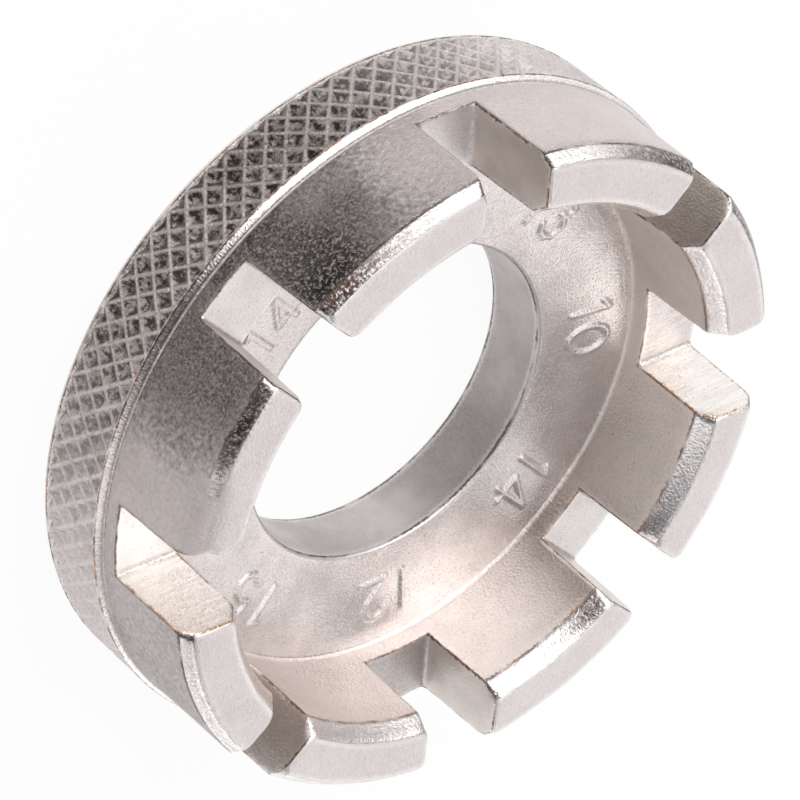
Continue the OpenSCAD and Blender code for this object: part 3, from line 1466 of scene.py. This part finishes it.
@dataclass(frozen=True)
class Plate:
    """The nickel plate on one zone of the casting. Lengths are in mm and strengths go from 0 to 1."""

    zone: Zone
    colour: Colour = (0.72, 0.655, 0.63)
    # The colour of the painted shade
    painted_shade_colour: Colour | None = None
    # The colour of rubbed streaks, partly painted light
    rubbed_and_painted_light_colour: Colour | None = None
    grain_colour: Colour = (0.9, 0.87, 0.85)
    pit_colour: Colour = (0.2, 0.155, 0.13)
    line_colour: Colour = (0.42, 0.22, 0.12)
    clouds: float = 0.12
    mottle: float = 0.0
    painted_shade_from: float = 0.35
    grains: float = 0.2
    unshaded_grains: float = 0.3
    grain_mm: float = 0.12
    stretch: float = 1.0
    relief: float = 0.5
    pits: float = 0.25
    unshaded_pits: float = 0.25
    pit_level: float = 0.38
    patchy: float = 0.0
    valley: float = 0.0
    band: float = 0.4
    line: float = 0.8
    line_mm: float = 0.05
    roughness: float = 0.4
    sheen: float = 0.0

    BURNT_COLOUR = (0.1, 0.06, 0.045)
    RUST_COLOUR = (0.62, 0.33, 0.16)
    RUST = 0.75
    # How strongly the inner corners are darkened
    CORNER_DARK = 0.5
    SHEEN_ROUGHNESS = 0.5
    # How much rougher pits are, and how much smoother rubbed places and bands are
    PIT_ROUGHNESS = 0.15
    RUB_ROUGHNESS = -0.15
    BAND_ROUGHNESS = -0.12
    # How strong the painted shade is where the bright band along edges starts to fade, and what is left of
    # the band at the end
    BAND_FADES = 0.4
    BAND_LEFT = 0.1
    # How strong the painted shade is where the mottling starts and is full, and where it ends and is still
    # full
    MOTTLE_IN = (0.15, 0.4)
    MOTTLE_OUT = (0.74, 0.6)
    # The mottling's lumps, in grains
    LUMP_WIDTH = 1.9
    LUMP_HEIGHT = 1.2
    # What nipples leave where they rub: streaks along X, the way that both rubbed jaws point
    STREAKS = Spots(0.16, 0.4, 0.6, roughness=0.55, least=0.6)
    STREAK_STRETCH = (0.1, 1.0, 1.0)
    # How strong the painted shade of the place is where painted shade starts to fill the knurl's pits and
    # where they are full
    PIT_SHADE_SPAN = (0.2, 0.85)
    LEAST_PIT_SHADE = 0.06
    PIT_SPOTS = Spots(0.35, 0.42, 0.56, detail=3.0, roughness=0.65, least=0.25)
    # Where a knurl pit's painted shade starts and is full, in cells from the ridge, and how ragged that is
    PIT_EDGE = (0.04, 0.14)
    RAGGED_WIDTH = 0.2
    RAGGED = 0.1

    def build(self, grain: bpy.types.NodeTree, wear: bpy.types.NodeTree) -> bpy.types.Material:
        """Makes the material.

        Args:
            grain: the cast grain's group.
            wear: the edge wear's group.

        Returns:
            The material.
        """
        material = bpy.data.materials.new(self.zone.name.lower() + "_plate")
        material.use_nodes = True
        w = Wiring(material.node_tree)
        shader = material.node_tree.nodes["Principled BSDF"].inputs
        for name, value in (("Metallic", 1.0), ("Sheen Weight", self.sheen),
                            ("Sheen Roughness", self.SHEEN_ROUGHNESS)):
            shader[name].default_value = value
        sizes = {"Grain mm": self.grain_mm, "Stretch": self.stretch, "Pit level": self.pit_level}
        cast = w.group(grain, sizes)
        worn = w.group(wear, {"Line mm": self.line_mm})
        rub_and_painted_light = self._rub_and_painted_light(w) if self.rubbed_and_painted_light_colour else None
        colour, height = self._coloured(w, cast, worn, rub_and_painted_light)
        w.feed(shader["Base Color"], colour)
        rough = self.roughness
        if rub_and_painted_light is not None:
            rough = w.math("MULTIPLY_ADD", rub_and_painted_light, self.RUB_ROUGHNESS, rough)
        rough = w.math("MULTIPLY_ADD", cast["Pits"], self.PIT_ROUGHNESS, rough)
        w.feed(shader["Roughness"], w.math("MULTIPLY_ADD", worn["Band"], self.BAND_ROUGHNESS, rough))
        bump = {"Height": height, "Strength": self.relief, "Distance": self.grain_mm * MM}
        w.feed(shader["Normal"], w.node("ShaderNodeBump", bump).outputs[0])
        return material

    def _coloured(self, w: Wiring, cast: dict[str, Socket], worn: dict[str, Socket],
                  rub_and_painted_light: Socket | None) -> tuple[Socket, Socket]:
        """Lays the plate's colours over each other, the plain plate first, then its painted shade, and the
        worn lines last.

        Args:
            w: the material's wiring.
            cast: the cast grain's outputs.
            worn: the edge wear's outputs.
            rub_and_painted_light: how far the place is worn in streaks and carries painted light, or None on
                a plate that isn't.

        Returns:
            The colour, and the height of the grain with what the mottling adds.
        """
        dull, height = w.mask("dull"), cast["Height"]
        grains, pits, band = self._strengths(w, dull, cast["Patches"])
        if self.mottle:
            dull, height = self._mottled(w, dull, height)
        colour = w.mix(cast["Clouds"], tuple(c * (1 - self.clouds) for c in self.colour), self.colour)
        # Painted shade: the plate is darkened towards its shade colour as far as the painted shade goes
        if self.painted_shade_colour:
            colour = w.mix(w.math("POWER", dull, 2.0) if self.valley else dull, colour, self.painted_shade_colour)
        # The rubbed streaks carry painted light: a painted highlight on the flats and a painted shade on the
        # floors
        if rub_and_painted_light is not None:
            colour = w.mix(rub_and_painted_light, colour, self.rubbed_and_painted_light_colour)
        line = w.mix(worn["Burnt"], self.line_colour, self.BURNT_COLOUR)
        if rub_and_painted_light is not None:
            line = w.mix(w.math("MULTIPLY", rub_and_painted_light, self.RUST), line, self.RUST_COLOUR)
        # The inner corners are made darker by the corner mask
        layers = [(cast["Grains"], grains, self.grain_colour), (cast["Pits"], pits, self.pit_colour),
                  (worn["Band"], band, self.grain_colour), (worn["Dirt"], self.CORNER_DARK, self.pit_colour),
                  (worn["Line"], self.line, line)]
        # Painted shade in the knurl's pits, the darker where the plate's painted shade is stronger
        if self.valley:
            layers.insert(2, (self._knurl_pits(w), self._pit_shade(w, dull), self.pit_colour))
        for mask, strength, tint in layers:
            colour = w.mix(w.math("MULTIPLY", mask, strength), colour, tint)
        return colour, height

    def _strengths(self, w: Wiring, dull: Socket, patches: Socket) -> tuple[Feed, Feed, Feed]:
        """How strongly the grains, the pits and the bright band along edges show, all three following the
        painted shade.

        Args:
            w: the material's wiring.
            dull: how much shade is painted at the place.
            patches: where the pits are thick, on a patchy plate.

        Returns:
            The three strengths.
        """
        grains, pits, band = self.grains, self.pits, self.band
        if self.painted_shade_colour:
            grains = w.math("MULTIPLY", w.ramp(dull, self.painted_shade_from, 1.0, self.unshaded_grains), grains)
            pits = w.math("MULTIPLY", w.ramp(dull, self.painted_shade_from, 1.0, self.unshaded_pits), pits)
            band = w.math("MULTIPLY", w.ramp(dull, self.BAND_FADES, 1.0, 1.0, self.BAND_LEFT), band)
        if self.patchy:
            pits = w.math("MULTIPLY", pits, w.ramp(patches, 0.0, 1.0, 1 - self.patchy))
        return grains, pits, band

    def _mottled(self, w: Wiring, dull: Socket, height: Socket) -> tuple[Socket, Socket]:
        """Breaks the edge of the painted shade up into small lumps.

        Args:
            w: the material's wiring.
            dull: how much shade is painted at the place.
            height: the grain's height.

        Returns:
            The mottled painted shade, and the height with the lumps added.
        """
        halfway = w.math("MULTIPLY", w.ramp(dull, *self.MOTTLE_IN), w.ramp(dull, *self.MOTTLE_OUT))
        lumps = w.noise(w.place_mm(), self.grain_mm * self.LUMP_WIDTH, detail=2.0, roughness=0.5)
        strength = w.math("MULTIPLY", halfway, self.mottle)
        shift = w.math("MULTIPLY", w.math("MULTIPLY_ADD", lumps, 2.0, -1.0), strength)
        mottled = w.ramp(w.math("ADD", dull, shift), 0.0, 1.0)
        raised = w.math("MULTIPLY", halfway, self.LUMP_HEIGHT)
        return mottled, w.math("MULTIPLY_ADD", lumps, raised, height)

    def _rub_and_painted_light(self, w: Wiring) -> Socket:
        """How far the place is worn in fine streaks, which also carries painted light."""
        streaks = self.STREAKS.at(w, w.vector("MULTIPLY", w.place_mm(), self.STREAK_STRETCH))
        return w.math("MULTIPLY", w.mask("rubbed"), streaks)

    def _pit_shade(self, w: Wiring, dull: Socket) -> Socket:
        """How much shade is painted into the knurl's pits, the more the stronger the painted shade of the
        place is.

        Args:
            w: the material's wiring.
            dull: how much shade is painted at the place.

        Returns:
            The share.
        """
        filled = w.ramp(dull, *self.PIT_SHADE_SPAN, self.valley * self.LEAST_PIT_SHADE, self.valley)
        return w.math("MULTIPLY", filled, self.PIT_SPOTS.at(w, w.place_mm()))

    def _knurl_pits(self, w: Wiring) -> Socket:
        """How far into a knurl pit the surface lies, with ragged ridges between the pits.

        Args:
            w: the material's wiring.

        Returns:
            The share.
        """
        place = w.place_mm()
        x, y, z = w.node("ShaderNodeSeparateXYZ", {0: place}).outputs
        turn = w.math("SUBTRACT", w.math("ARCTAN2", y, x), Rim.first_angle)
        across = w.math("MULTIPLY", turn, Rim.around / FULL_TURN)
        up = w.math("DIVIDE", w.math("SUBTRACT", z, Rim.first_z), Rim.axial_pitch)
        to_ridge = [w.math("PINGPONG", w.math(way, across, up), 0.5) for way in ("ADD", "SUBTRACT")]
        noise = w.noise(place, self.RAGGED_WIDTH, detail=2.0, roughness=0.6)
        ragged = w.math("MULTIPLY_ADD", noise, self.RAGGED, -self.RAGGED / 2)
        return w.ramp(w.math("ADD", w.math("MINIMUM", *to_ridge), ragged), *self.PIT_EDGE)


# The shade colours below are painted shade, a dark reflection painted onto one side of the casting
PLATES = (
    Plate(Zone.KNURL, colour=(0.76, 0.7, 0.69), painted_shade_colour=(0.41, 0.35, 0.32),
          pit_colour=(0.034, 0.022, 0.016), pits=0.4, pit_level=0.44, grains=0.3, grain_mm=0.09,
          relief=0.45, roughness=0.36, valley=0.98, band=0.2, sheen=0.2, line=0.9),
    Plate(Zone.STEP, colour=(0.84, 0.79, 0.77), painted_shade_colour=(0.3, 0.26, 0.245), pits=0.7, grains=0.5,
          grain_mm=0.11, stretch=0.3, relief=0.3, roughness=0.18, line=0.9, line_mm=0.07, patchy=0.7),
    Plate(Zone.WALL, colour=(0.78, 0.7, 0.68), painted_shade_colour=(0.016, 0.011, 0.01),
          pit_colour=(0.004, 0.003, 0.003), grain_colour=(0.44, 0.39, 0.37),
          line_colour=(0.06, 0.045, 0.035), pits=0.85, pit_level=0.46, unshaded_pits=0.05, grains=0.7,
          unshaded_grains=0.15, painted_shade_from=0.5, mottle=0.5, relief=0.9, roughness=0.36, clouds=0.06,
          sheen=0.12, line_mm=0.06),
    Plate(Zone.LIP, colour=(0.84, 0.79, 0.78), painted_shade_colour=(0.07, 0.03, 0.017),
          pit_colour=(0.012, 0.008, 0.006), grain_colour=(0.95, 0.93, 0.92), pits=0.85, pit_level=0.44,
          unshaded_pits=0.15, patchy=0.8, grains=0.42, grain_mm=0.14, relief=0.4, roughness=0.14, line=0.3),
    Plate(Zone.TOP, colour=(0.73, 0.67, 0.66), pits=0.1, grains=0.15, grain_mm=0.14, relief=0.35,
          roughness=0.42, clouds=0.06, line=0.0),
    # The cup's pale colour is partly a painted highlight, standing in for light bounced inside the crown
    Plate(Zone.CUP, colour=(0.99, 0.91, 0.86), painted_shade_colour=(0.3, 0.24, 0.21), unshaded_pits=0.5,
          unshaded_grains=0.6, grain_mm=0.13, relief=0.6, clouds=0.1, line_mm=0.08),
    # The flats' rubbed colour is partly a painted highlight
    Plate(Zone.FLAT, colour=(0.88, 0.81, 0.77), painted_shade_colour=(0.16, 0.12, 0.1),
          rubbed_and_painted_light_colour=(1.0, 0.96, 0.92), line_colour=(0.3, 0.16, 0.09), pits=0.35, grains=0.15,
          relief=0.35, roughness=0.36, line=0.95, line_mm=0.15, clouds=0.2),
    # The jaw floors' pale colour is partly a painted highlight, and their rubbed colour a painted shade
    Plate(Zone.FLOOR, colour=(0.95, 0.9, 0.87), painted_shade_colour=(0.24, 0.19, 0.17),
          rubbed_and_painted_light_colour=(0.64, 0.57, 0.54), pits=0.3, unshaded_pits=1.0, unshaded_grains=1.0, grain_mm=0.1,
          relief=0.35, line=0.85, line_mm=0.1),
    Plate(Zone.DISH, colour=(0.82, 0.76, 0.745), painted_shade_colour=(0.5, 0.45, 0.43), pits=0.14, pit_level=0.4,
          grains=0.18, relief=0.3, roughness=0.22, clouds=0.18),
    Plate(Zone.BORE, colour=(0.64, 0.595, 0.59), painted_shade_colour=(0.1, 0.08, 0.07),
          line_colour=(0.1, 0.07, 0.05), pits=0.15, grains=0.12, grain_mm=0.1, relief=0.25,
          roughness=0.5, clouds=0.2, line_mm=0.09),
    Plate(Zone.BACK, pits=0.15, grains=0.15, relief=0.3),
)


def towards(azimuth: float, elevation: float) -> Vector:
    """The direction from the casting to a place, by its azimuth and elevation in degrees."""
    az, el = math.radians(azimuth), math.radians(elevation)
    return Vector((math.cos(el) * math.cos(az), math.cos(el) * math.sin(az), math.sin(el)))


@dataclass(frozen=True)
class ViewPoint:
    """The photograph's viewpoint. Lengths are in mm and angles in degrees."""

    aim: tuple[float, float, float] = (3.19, -3.3, 0.0)
    azimuth: float = 131.7
    elevation: float = 36.93
    distance: float = 194.97
    roll: float = -129.65
    focal_px: float = 4181.0
    image_px: float = 800.0
    sensor: float = 36.0
    clip_start_m: float = 0.01

    def build(self) -> None:
        """Makes the camera and hands it to the scene."""
        camera = bpy.data.cameras.new("camera")
        camera.sensor_width = self.sensor
        camera.lens = self.focal_px / self.image_px * self.sensor
        camera.clip_start = self.clip_start_m
        back = towards(self.azimuth, self.elevation)
        place = (Vector(self.aim) + back * self.distance) * MM
        roll = Matrix.Rotation(math.radians(-self.roll), 3, "Z")
        turned = back.to_track_quat("Z", "Y").to_matrix() @ roll
        obj = linked("camera", camera)
        obj.matrix_world = Matrix.Translation(place) @ turned.to_4x4()
        bpy.context.scene.camera = obj


@dataclass(frozen=True)
class Softbox:
    """An area lamp that faces the casting. Lengths are in m, angles in degrees."""

    name: str
    azimuth: float
    elevation: float
    brightness: float
    width: float
    height: float
    distance: float = 0.6

    def build(self) -> None:
        """Makes the lamp."""
        lamp = bpy.data.lights.new(self.name, "AREA")
        lamp.shape = "RECTANGLE"
        lamp.size, lamp.size_y = self.width, self.height
        lamp.energy = self.brightness * math.pi * self.width * self.height
        away = towards(self.azimuth, self.elevation)
        turn = away.to_track_quat("Z", "Y").to_matrix().to_4x4()
        linked(self.name, lamp).matrix_world = Matrix.Translation(away * self.distance) @ turn


@dataclass(frozen=True)
class Studio:
    """The pale floor, the dim room and the lamps. Lengths are in m."""

    floor_half: float = 1.5
    floor_colour: Colour = (0.92, 0.92, 0.93)
    floor_roughness: float = 0.9
    floor_white: float = 0.93
    room: Colour = (0.2, 0.2, 0.21)
    lamps: tuple[Softbox, ...] = (
        Softbox("back_softbox", 312, 26, 1.12, 0.8, 0.47),
        Softbox("side_softbox", 74, 37, 2.5, 0.85, 0.5),
        Softbox("top_softbox", 10, 82, 1.2, 0.5, 0.5),
        Softbox("front_softbox", 211, 26, 1.0, 0.5, 0.5),
        Softbox("right_strip", 14, 9, 1.2, 0.25, 0.25),
        Softbox("left_strip", 262, 9, 2.5, 0.25, 0.25),
    )

    def build(self) -> None:
        """Makes it all."""
        for lamp in self.lamps:
            lamp.build()
        world = bpy.data.worlds.new("room")
        bpy.context.scene.world = world
        world.use_nodes = True
        world.node_tree.nodes["Background"].inputs["Color"].default_value = (*self.room, 1)
        h = self.floor_half
        mesh = bpy.data.meshes.new("floor")
        mesh.from_pydata([(-h, -h, 0), (h, -h, 0), (h, h, 0), (-h, h, 0)], [], [(0, 1, 2, 3)])
        mesh.materials.append(self._floor_material())
        obj = linked("floor", mesh)

    def _floor_material(self) -> bpy.types.Material:
        """Makes the floor's material, part of whose white only the camera and the metal see.

        Returns:
            The material.
        """
        material = bpy.data.materials.new("floor")
        material.use_nodes = True
        w = Wiring(material.node_tree)
        shader = material.node_tree.nodes["Principled BSDF"]
        w.feed(shader.inputs["Base Color"], self.floor_colour)
        w.feed(shader.inputs["Roughness"], self.floor_roughness)
        rays = w.node("ShaderNodeLightPath", {}).outputs
        seen = w.math("ADD", rays["Is Camera Ray"], rays["Is Glossy Ray"])
        seen = w.math("MINIMUM", w.math("ADD", seen, rays["Is Transmission Ray"]), 1.0)
        white = w.node("ShaderNodeEmission", {"Color": (1.0, 1.0, 1.0), "Strength": 1.0})
        share = w.math("MULTIPLY", seen, self.floor_white)
        mixed = w.node("ShaderNodeMixShader", {0: share, 1: shader.outputs[0], 2: white.outputs[0]})
        w.feed(material.node_tree.nodes["Material Output"].inputs["Surface"], mixed.outputs[0])
        return material


def main() -> None:
    """Builds the camera, the casting and the studio, in that order."""
    logging.basicConfig(level=logging.INFO, format="%(message)s")
    bpy.context.scene.view_settings.view_transform = "Standard"
    ViewPoint().build()
    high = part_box(NODE)[1] / MM
    bore = next(m for m in frame["record"]["mounts"] if m["name"] == "bore")
    sizes = CastingSizes(rim_r=high.x, overall_h=high.z, bore_r=bore["dims"]["r_mm"])
    casting = Casting(sizes, jaws_of(frame["record"])).build()
    grain, wear = CastGrain().group(), EdgeWear().group()
    for plate in sorted(PLATES, key=lambda plate: plate.zone):
        casting.data.materials.append(plate.build(grain, wear))
    log.info("%s: %d points, %d faces, %d finishes", casting.name, len(casting.data.vertices),
             len(casting.data.polygons), len(casting.data.materials))
    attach(casting, BODY)
    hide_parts(NODE)
    Studio().build()


if __name__ == "__main__":
    main()
